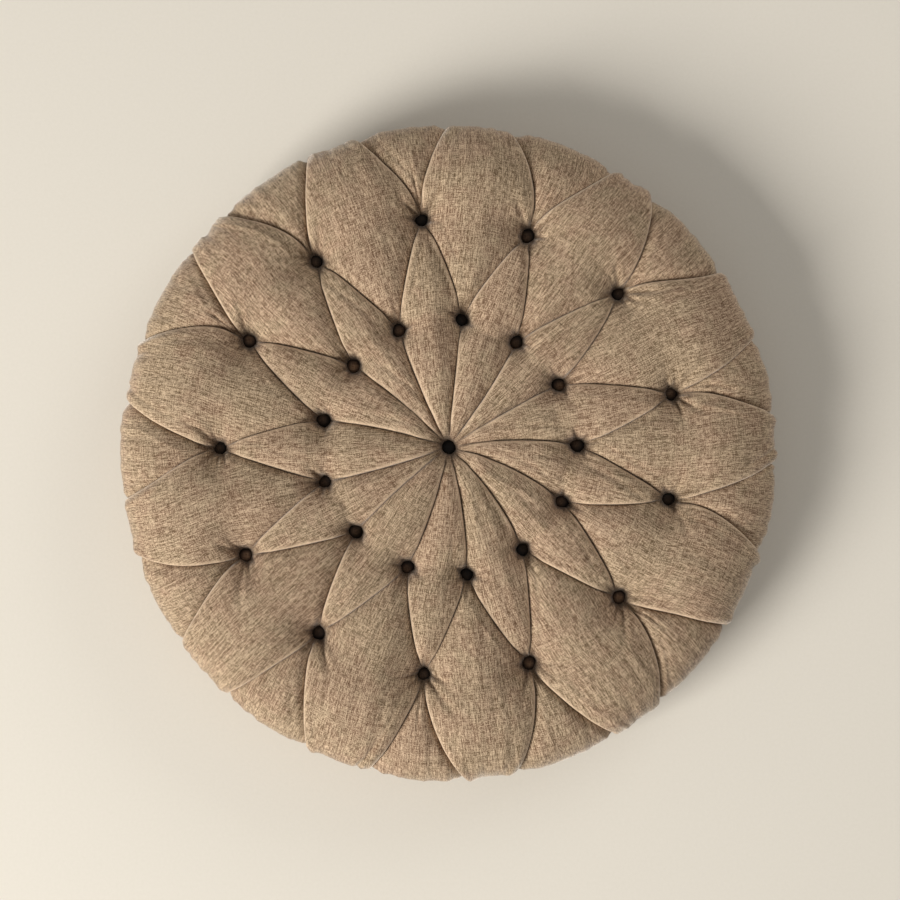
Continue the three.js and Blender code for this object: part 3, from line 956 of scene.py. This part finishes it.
def make_tie(label, seed):
    """A two-ply twine down through the pad, with a flat two-hole button knotted to its lower end."""
    draw = np.random.default_rng(seed)
    spot = middle(f"tie_{label}")
    rim = UNDER_TOP - UNDER_LOW
    profile = [
        (0, UNDER_LOW + 0.5 * MM), (2.9 * MM, UNDER_LOW + 0.5 * MM),
        (3.5 * MM, UNDER_LOW + 0.15 * MM), (4.4 * MM, UNDER_LOW), (5.1 * MM, UNDER_LOW + 0.2 * MM),
        (5.5 * MM, UNDER_LOW + 0.35 * rim), (5.5 * MM, UNDER_LOW + 0.75 * rim),
        (5.1 * MM, UNDER_TOP), (0, UNDER_TOP),
    ]
    disc, disc_quads = turned(profile, 36)
    parts, faces, start = [disc.reshape(-1, 3)], [disc_quads], disc.shape[0] * disc.shape[1]
    rows, loop_rows, sides = 40, 15, 8
    height = np.linspace(UNDER_LOW + 1.0 * MM, BUTTON_LOW + BUTTON_RAISED - 0.4 * MM, rows)[:, None]
    ring = np.linspace(0, 2 * math.pi, sides + 1)[None, :]
    ply_away, ply_radius, twist_length = 0.38 * MM, 0.42 * MM, 5 * MM
    for ply in (0, math.pi):
        twist = ply + height / twist_length * 2 * math.pi
        x = ply_away * np.cos(twist) + ply_radius * np.cos(ring)
        y = ply_away * np.sin(twist) + ply_radius * np.sin(ring)
        strand = np.stack([x, y, height * np.ones_like(ring)], -1)
        strand[0, :, :2] = strand[0, :, :2].mean(0)
        strand[-1, :, :2] = strand[-1, :, :2].mean(0)
        parts.append(strand.reshape(-1, 3))
        faces.append(grid_faces(rows, sides + 1, start))
        start += rows * (sides + 1)
    # The twine's two passes over the face of the flat button, from hole to hole.
    way = draw.uniform(0, math.pi)
    ahead = np.array([math.cos(way), math.sin(way)])
    side = np.array([-ahead[1], ahead[0]])
    share = np.linspace(-1, 1, loop_rows)[:, None]
    arch = 0.45 - 0.55 * np.sqrt(np.maximum(1 - share ** 2, 0)) + 0.45 * np.abs(share) ** 4
    tube = ply_radius * np.sqrt(np.maximum(1 - np.abs(share) ** 12, 0))
    for offset in (-0.45, 0.45):
        mid = share * 1.6 * MM * ahead + offset * MM * side
        x = mid[:, :1] + tube * np.cos(ring) * side[0]
        y = mid[:, 1:] + tube * np.cos(ring) * side[1]
        loop = np.stack([x, y, UNDER_LOW + arch * MM + tube * np.sin(ring)], -1)
        parts.append(loop.reshape(-1, 3))
        faces.append(grid_faces(loop_rows, sides + 1, start))
        start += loop_rows * (sides + 1)
    places, _, quads, _ = joined(np.concatenate(parts) + np.array([spot.x, spot.y, 0]), np.concatenate(faces))
    return mesh_piece(f"twine_and_base_button_{label}", places, quads)


for count, label in enumerate(BUTTON_NODES):
    done(make_tie(label, 600 + count), twine, [f"tie_{label}"])


# ---------------- seam stitches, laid by nodes

def stitch_tree():
    """Nodes that set short twisted stitches end to end round a ring."""
    tree = bpy.data.node_groups.new("seam_stitches", "GeometryNodeTree")
    face = tree.interface
    face.new_socket("Geometry", in_out="OUTPUT", socket_type="NodeSocketGeometry")
    for name in ("Ring Radius", "Stitch Length", "Stitch Radius", "Height"):
        face.new_socket(name, in_out="INPUT", socket_type="NodeSocketFloat")
    face.new_socket("Count", in_out="INPUT", socket_type="NodeSocketInt")
    face.new_socket("Thread", in_out="INPUT", socket_type="NodeSocketMaterial")
    new = tree.nodes.new
    group = new("NodeGroupInput")
    ring = new("GeometryNodeCurvePrimitiveCircle")
    ring.inputs["Resolution"].default_value = 360
    spots = new("GeometryNodeResampleCurve")
    spots.mode = "COUNT"
    to_points = new("GeometryNodeCurveToPoints")
    to_points.mode = "EVALUATED"
    ball = new("GeometryNodeMeshUVSphere")
    ball.inputs["Segments"].default_value = 8
    ball.inputs["Rings"].default_value = 6
    ball.inputs["Radius"].default_value = 1.0
    size = new("ShaderNodeCombineXYZ")
    place = new("GeometryNodeInstanceOnPoints")
    slant = new("FunctionNodeRandomValue")
    slant.data_type = "FLOAT_VECTOR"
    slant.inputs["Min"].default_value = (0.02, -0.10, 0.0)
    slant.inputs["Max"].default_value = (0.16, 0.10, 0.0)
    slant.inputs["Seed"].default_value = 4
    turn = new("GeometryNodeRotateInstances")
    up = new("ShaderNodeCombineXYZ")
    lift = new("GeometryNodeTransform")
    real = new("GeometryNodeRealizeInstances")
    paint = new("GeometryNodeSetMaterial")
    end = new("NodeGroupOutput")
    for source, out, target, into in (
        (group, "Ring Radius", ring, "Radius"), (ring, "Curve", spots, "Curve"), (group, "Count", spots, "Count"),
        (spots, "Curve", to_points, "Curve"), (group, "Stitch Radius", size, 0), (group, "Stitch Radius", size, 1),
        (group, "Stitch Length", size, 2), (to_points, "Points", place, "Points"), (ball, "Mesh", place, "Instance"),
        (to_points, "Rotation", place, "Rotation"), (size, 0, place, "Scale"),
        (place, "Instances", turn, "Instances"), (slant, "Value", turn, "Rotation"), (group, "Height", up, 2),
        (turn, "Instances", lift, "Geometry"), (up, 0, lift, "Translation"), (lift, "Geometry", real, "Geometry"),
        (real, "Geometry", paint, "Geometry"), (group, "Thread", paint, "Material"),
        (paint, "Geometry", end, "Geometry"),
    ):
        tree.links.new(source.outputs[out], target.inputs[into])
    return tree


def from_nodes(name, tree, values):
    """The plain mesh that a node tree makes from its named inputs."""
    holder = bpy.data.objects.new(name + "_nodes", bpy.data.meshes.new(name + "_nodes"))
    bpy.context.scene.collection.objects.link(holder)
    modifier = holder.modifiers.new("nodes", "NODES")
    modifier.node_group = tree
    for item in tree.interface.items_tree:
        if item.in_out == "INPUT" and item.name in values:
            modifier[item.identifier] = values[item.name]
    depsgraph = bpy.context.evaluated_depsgraph_get()
    mesh = bpy.data.meshes.new_from_object(holder.evaluated_get(depsgraph))
    mesh.name = name
    bpy.data.objects.remove(holder)
    piece = bpy.data.objects.new(name, mesh)
    bpy.context.scene.collection.objects.link(piece)
    mesh.polygons.foreach_set("use_smooth", [True] * len(mesh.polygons))
    return piece


seam_radius = float(np.interp(CLOTH_REACH, SIDE_LENGTH, SIDE_RADIUS))
stitches = from_nodes("seam_stitches", stitch_tree(), {
    "Ring Radius": seam_radius - SEAM_TUCK + 0.45 * MM,
    "Stitch Length": 2.0 * MM,
    "Stitch Radius": 0.5 * MM,
    "Height": SEAM_Z,
    "Count": 400,
    "Thread": seam_thread,
})
done(stitches, seam_thread, ["seam_stitching"])


# ---------------- floor and light

def floor_finish():
    """A plain pale matt floor."""
    finish = Finish("pale_floor")
    place = finish.node("ShaderNodeTexCoord", None, None, 3)
    grain = finish.noise(place, 400.0, 3.0, 0.6)
    colour = finish.mixed(grain, rgb(214, 208, 196), rgb(220, 214, 203))
    return finish.surface(colour, 0.85, grain, 0.05, 0.2 * MM, {"Specular IOR Level": 0.2})


FLOOR_HALF = 20
corners = [(x * FLOOR_HALF, y * FLOOR_HALF, 0) for x, y in ((-1, -1), (1, -1), (1, 1), (-1, 1))]
floor = mesh_piece("floor", corners, [[0, 1, 2, 3]], smooth=False)
floor.data.materials.append(floor_finish())


def soft_light(name, azimuth, elevation, away, size, power, colour):
    """A square area light aimed at the pad. Azimuth is clockwise from +Y, both angles in degrees."""
    lamp = bpy.data.lights.new(name, "AREA")
    lamp.shape = "SQUARE"
    lamp.size = size
    lamp.energy = power
    lamp.color = colour
    holder = bpy.data.objects.new(name, lamp)
    a, e = math.radians(azimuth), math.radians(elevation)
    way = Vector((math.sin(a) * math.cos(e), math.cos(a) * math.cos(e), math.sin(e)))
    holder.location = aim + way * away
    holder.rotation_mode = "QUATERNION"
    holder.rotation_quaternion = way.to_track_quat("Z", "Y")
    bpy.context.scene.collection.objects.link(holder)


soft_light("key", 234, 30, 4.0, 1.7, 224, (1.0, 0.98, 0.95))
soft_light("fill", 45, 22, 4.0, 2.4, 54, (1.0, 0.99, 0.97))

world = bpy.data.worlds.new("studio")
bpy.context.scene.world = world
world.use_nodes = True
sky = world.node_tree.nodes["Background"]
sky.inputs["Color"].default_value = (1.0, 0.98, 0.95, 1.0)
sky.inputs["Strength"].default_value = 0.30
bpy.context.scene.view_settings.view_transform = "Standard"
bpy.context.scene.view_settings.look = "None"
